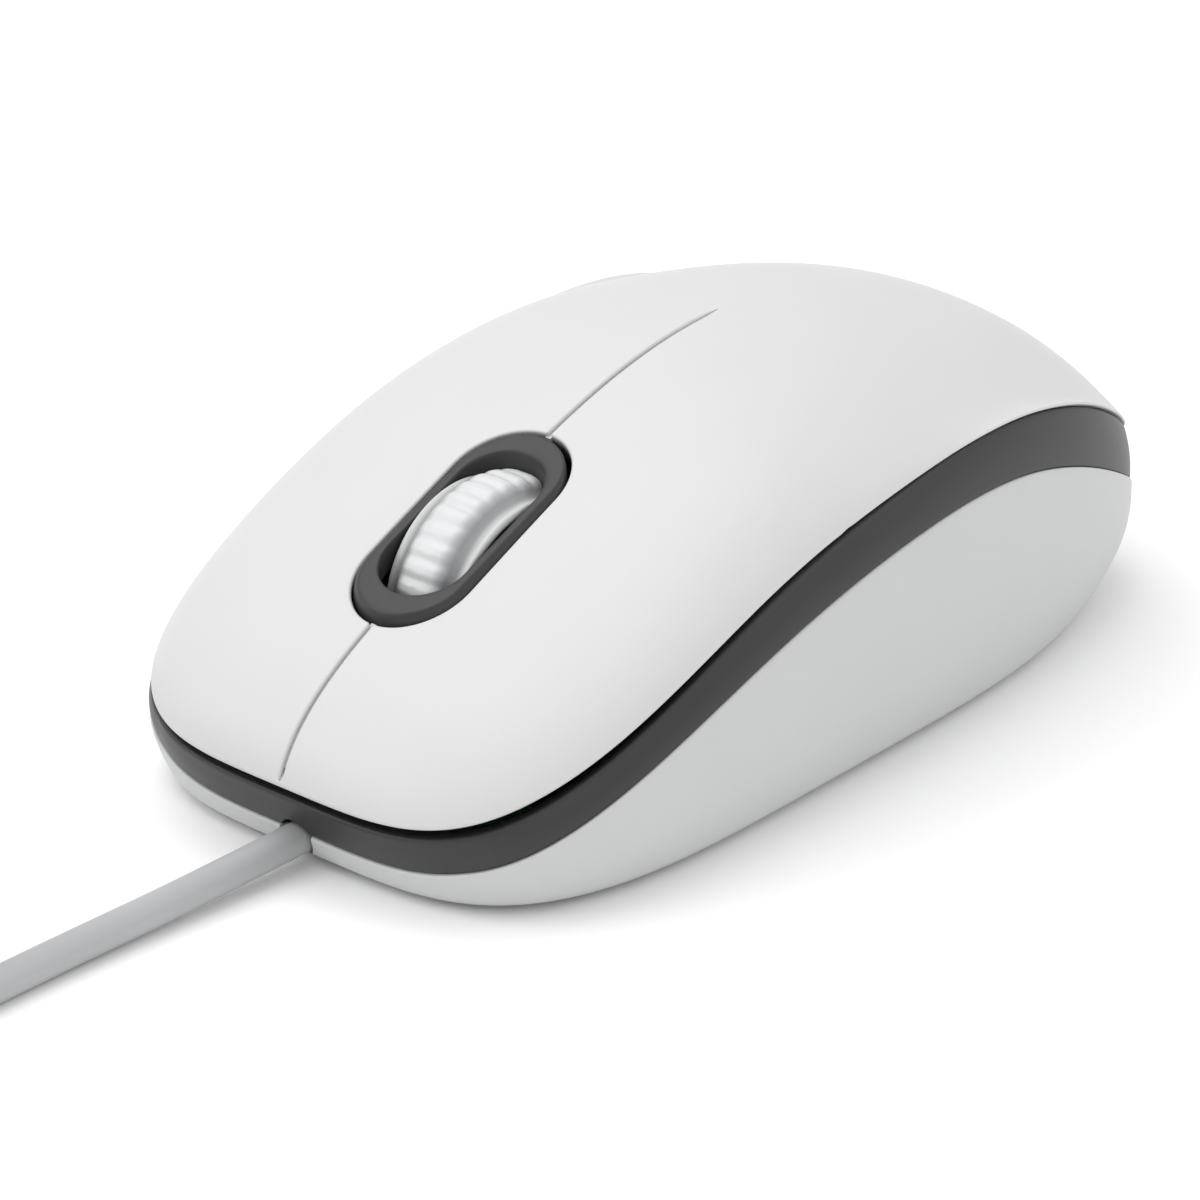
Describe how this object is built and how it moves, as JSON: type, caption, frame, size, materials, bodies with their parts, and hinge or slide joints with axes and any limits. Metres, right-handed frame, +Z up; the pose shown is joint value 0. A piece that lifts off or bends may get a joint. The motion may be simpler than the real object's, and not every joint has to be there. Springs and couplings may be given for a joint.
{
  "type": "computer mouse",
  "caption": "Corded optical mouse with a white domed shell, dark arched waist band, oval wheel bezel, click buttons, scroll wheel and coiled cable with plug.",
  "frame": {"origin": "on the desk, under the centre of the mouse housing's box, cable not counted", "axes": "+X towards the left-hand button side, +Y towards the palm end (the cable leaves towards -Y), +Z up"},
  "size_m": [0.1087, 0.1944, 0.0384],
  "materials": {
    "white_shell": "satin",
    "dark_trim": "satin",
    "light_base": "satin",
    "glide": "satin",
    "label": "matte",
    "steel": "satin",
    "board": "satin",
    "switch_case": "satin",
    "plunger": "satin",
    "wheel_tyre": "satin",
    "hub": "satin",
    "clear_resin": "gloss",
    "dark_resin": "gloss",
    "chip": "satin",
    "clear_lens": "gloss",
    "can": "satin",
    "connector": "satin",
    "lead": "satin",
    "cable_jacket": "satin",
    "tie": "satin",
    "usb_steel": "satin",
    "tongue": "satin",
    "contact": "satin"
  },
  "bodies": {
    "housing": {"top_cover": "white_shell", "middle_band": "dark_trim", "base_shell": "light_base", "wheel_bezel": "dark_trim", "front_foot": "glide", "rear_foot": "glide", "rating_label": "label", "case_screw": "steel", "main_pcb": "board", "pcb_screws": "steel", "left_switch": "switch_case", "right_switch": "switch_case", "middle_switch": "switch_case", "wheel_bracket": "hub", "click_spring": "steel", "wheel_emitter": "clear_resin", "wheel_detector": "dark_resin", "optical_sensor": "chip", "led_clip": "hub", "tracking_led": "clear_resin", "optical_lens": "clear_lens", "capacitor": "can", "chip_resistors": "chip", "resonator": "can", "cable_header": "connector", "lead_connector": "connector", "inner_leads": "lead", "strain_relief": "cable_jacket", "cable": "cable_jacket", "cable_tail": "cable_jacket", "cable_coil": "cable_jacket", "cable_tie": "tie", "usb_overmould": "cable_jacket", "usb_shell": "usb_steel", "usb_tongue": "tongue", "usb_contacts": "contact"},
    "left_button": {"left_button": "white_shell"},
    "right_button": {"right_button": "white_shell"},
    "wheel_cradle": {"wheel_cradle": "hub"},
    "wheel": {"scroll_tyre": "wheel_tyre", "wheel_hub": "hub"},
    "left_plunger": {"left_plunger": "plunger"},
    "right_plunger": {"right_plunger": "plunger"},
    "middle_plunger": {"middle_plunger": "plunger"}
  },
  "joints": [
    {"name": "left_button_press", "type": "hinge", "parent": "housing", "child": "left_button", "pos_m": [0, 0.0072, 0.0375], "axis": [1, 0, 0], "range_deg": [0, 0.6], "stiffness_Nm_per_rad": 1.6, "springref_deg": -0.46},
    {"name": "right_button_press", "type": "hinge", "parent": "housing", "child": "right_button", "pos_m": [0, 0.0072, 0.0375], "axis": [1, 0, 0], "range_deg": [0, 0.6], "stiffness_Nm_per_rad": 1.6, "springref_deg": -0.46},
    {"name": "wheel_click", "type": "hinge", "parent": "housing", "child": "wheel_cradle", "pos_m": [0, -0.0085, 0.0163], "axis": [1, 0, 0], "range_deg": [0, 0.9], "stiffness_Nm_per_rad": 0.5, "springref_deg": -1.15},
    {"name": "wheel_spin", "type": "hinge", "parent": "wheel_cradle", "child": "wheel", "pos_m": [0, -0.0265, 0.0187], "axis": [1, 0, 0], "continuous": true},
    {"name": "left_plunger_travel", "type": "slide", "parent": "housing", "child": "left_plunger", "axis": [0, 0, -1], "range_m": [0, 0.0006]},
    {"name": "right_plunger_travel", "type": "slide", "parent": "housing", "child": "right_plunger", "axis": [0, 0, -1], "range_m": [0, 0.0006]},
    {"name": "middle_plunger_travel", "type": "slide", "parent": "housing", "child": "middle_plunger", "axis": [0, 0, -1], "range_m": [0, 0.0006]}
  ],
  "couplings": [
    {"joint": "left_plunger_travel", "follows": "left_button_press", "m_per_rad": 0.0458},
    {"joint": "right_plunger_travel", "follows": "right_button_press", "m_per_rad": 0.0458},
    {"joint": "middle_plunger_travel", "follows": "wheel_click", "m_per_rad": 0.0271}
  ]
}
